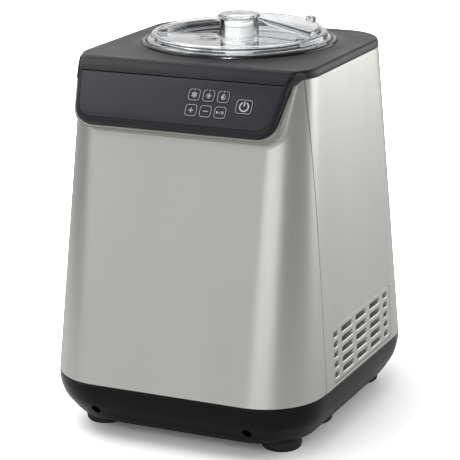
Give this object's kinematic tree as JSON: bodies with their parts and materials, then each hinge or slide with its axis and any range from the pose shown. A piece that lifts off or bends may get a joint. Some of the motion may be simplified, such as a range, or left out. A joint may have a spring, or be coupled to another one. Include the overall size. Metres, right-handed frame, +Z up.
{
  "type": "ice cream maker",
  "caption": "Compressor ice cream maker with a removable bowl, coupled paddle drive, lift-off lid with swivelling refill door and a sloped key panel.",
  "frame": {"origin": "on the floor under the middle of the base", "axes": "+Z up, control panel faces -Y, +X is the object's right-hand side seen from the front"},
  "size_m": [0.244, 0.2708, 0.3466],
  "materials": {
    "silver_case": "satin silver with a faint upright grain",
    "charcoal_plastic": "fine satin texture",
    "control_film": "fine matte film",
    "key_plastic": "matte caps with pale outlines",
    "gloss_black": "polished",
    "base_plastic": "satin moulded",
    "clear_plastic": "clear moulded",
    "white_plastic": "satin off-white",
    "bowl_aluminium": "spun, faintly ringed",
    "steel": "brushed",
    "copper": "drawn copper tube",
    "rubber": "matte",
    "foam": "rigid insulating foam",
    "gear_plastic": "natural moulded",
    "dark_internal": "moulded",
    "compressor_paint": "black enamel",
    "circuit_board": "green board"
  },
  "bodies": {
    "housing": {"housing_wrap": "silver_case", "front_panel": "silver_case", "vent_grille_right": "silver_case", "vent_grille_left": "silver_case", "top_cover": "charcoal_plastic", "opening_ring": "gloss_black", "base_tray": "base_plastic", "chassis_plate": "steel", "cord_gland": "rubber", "evaporator_cup": "bowl_aluminium", "evaporator_coil": "copper", "insulation_block": "foam", "shaft_bush": "dark_internal", "idler_pin": "steel", "gearbox_case": "dark_internal", "gearbox_cover": "dark_internal", "churn_motor": "steel", "compressor": "compressor_paint", "starter_cover": "dark_internal", "condenser": "bowl_aluminium", "fan_shroud": "dark_internal", "fan_motor": "steel", "filter_drier": "copper", "discharge_pipe": "copper", "liquid_pipe": "copper", "capillary_tube": "copper", "suction_pipe": "copper", "power_board": "circuit_board", "control_fascia": "control_film", "display_board": "circuit_board", "foot_front_left": "rubber", "foot_middle_left": "rubber", "foot_rear_left": "rubber", "base_screw_front_left": "steel", "compressor_mount_front_left": "rubber", "base_screw_rear_left": "steel", "compressor_mount_rear_left": "rubber", "foot_front_right": "rubber", "foot_middle_right": "rubber", "foot_rear_right": "rubber", "base_screw_front_right": "steel", "compressor_mount_front_right": "rubber", "base_screw_rear_right": "steel", "compressor_mount_rear_right": "rubber"},
    "bowl": {"bowl": "bowl_aluminium"},
    "lid": {"lid": "clear_plastic"},
    "refill_door": {"refill_door": "clear_plastic"},
    "paddle": {"paddle": "white_plastic"},
    "drive": {"drive_shaft": "steel", "output_gear": "gear_plastic"},
    "idler": {"idler_gear": "gear_plastic"},
    "pinion": {"motor_pinion": "steel"},
    "fan": {"fan_blade": "dark_internal"},
    "key_cool": {"key_cool": "key_plastic"},
    "key_keep_cool": {"key_keep_cool": "key_plastic"},
    "key_texture": {"key_texture": "key_plastic"},
    "key_plus": {"key_plus": "key_plastic"},
    "key_minus": {"key_minus": "key_plastic"},
    "key_start": {"key_start": "key_plastic"},
    "key_power": {"key_power": "key_plastic"}
  },
  "joints": [
    {"name": "bowl_lift", "type": "slide", "parent": "housing", "child": "bowl", "axis": [0, 0, 1], "range_m": [0, 0.14]},
    {"name": "lid_lift", "type": "slide", "parent": "bowl", "child": "lid", "axis": [0, 0, 1], "range_m": [0, 0.12]},
    {"name": "door_swivel", "type": "hinge", "parent": "lid", "child": "refill_door", "pos_m": [0, 0.0198, 0.344], "axis": [0, 0, 1], "range_deg": [0, 81]},
    {"name": "paddle_spin", "type": "hinge", "parent": "bowl", "child": "paddle", "pos_m": [0, 0.0198, 0.24], "axis": [0, 0, 1], "continuous": true},
    {"name": "drive_spin", "type": "hinge", "parent": "housing", "child": "drive", "pos_m": [0, 0.0198, 0.18], "axis": [0, 0, 1], "continuous": true},
    {"name": "idler_spin", "type": "hinge", "parent": "housing", "child": "idler", "pos_m": [0, -0.0222, 0.16], "axis": [0, 0, 1], "continuous": true},
    {"name": "pinion_spin", "type": "hinge", "parent": "housing", "child": "pinion", "pos_m": [0.0262, -0.04418, 0.158], "axis": [0, 0, 1], "continuous": true},
    {"name": "fan_spin", "type": "hinge", "parent": "housing", "child": "fan", "pos_m": [0.065, 0.015, 0.085], "axis": [1, 0, 0], "continuous": true},
    {"name": "key_cool_press", "type": "slide", "parent": "housing", "child": "key_cool", "axis": [0, 0.8549, -0.5188], "range_m": [0, 0.0008], "stiffness_N_per_m": 400},
    {"name": "key_keep_cool_press", "type": "slide", "parent": "housing", "child": "key_keep_cool", "axis": [0, 0.8549, -0.5188], "range_m": [0, 0.0008], "stiffness_N_per_m": 400},
    {"name": "key_texture_press", "type": "slide", "parent": "housing", "child": "key_texture", "axis": [0, 0.8549, -0.5188], "range_m": [0, 0.0008], "stiffness_N_per_m": 400},
    {"name": "key_plus_press", "type": "slide", "parent": "housing", "child": "key_plus", "axis": [0, 0.8549, -0.5188], "range_m": [0, 0.0008], "stiffness_N_per_m": 400},
    {"name": "key_minus_press", "type": "slide", "parent": "housing", "child": "key_minus", "axis": [0, 0.8549, -0.5188], "range_m": [0, 0.0008], "stiffness_N_per_m": 400},
    {"name": "key_start_press", "type": "slide", "parent": "housing", "child": "key_start", "axis": [0, 0.8549, -0.5188], "range_m": [0, 0.0008], "stiffness_N_per_m": 400},
    {"name": "key_power_press", "type": "slide", "parent": "housing", "child": "key_power", "axis": [0, 0.8549, -0.5188], "range_m": [0, 0.0008], "stiffness_N_per_m": 400}
  ],
  "couplings": [
    {"joint": "drive_spin", "follows": "paddle_spin", "ratio": 1},
    {"joint": "idler_spin", "follows": "paddle_spin", "ratio": -3},
    {"joint": "pinion_spin", "follows": "paddle_spin", "ratio": 10.5}
  ]
}
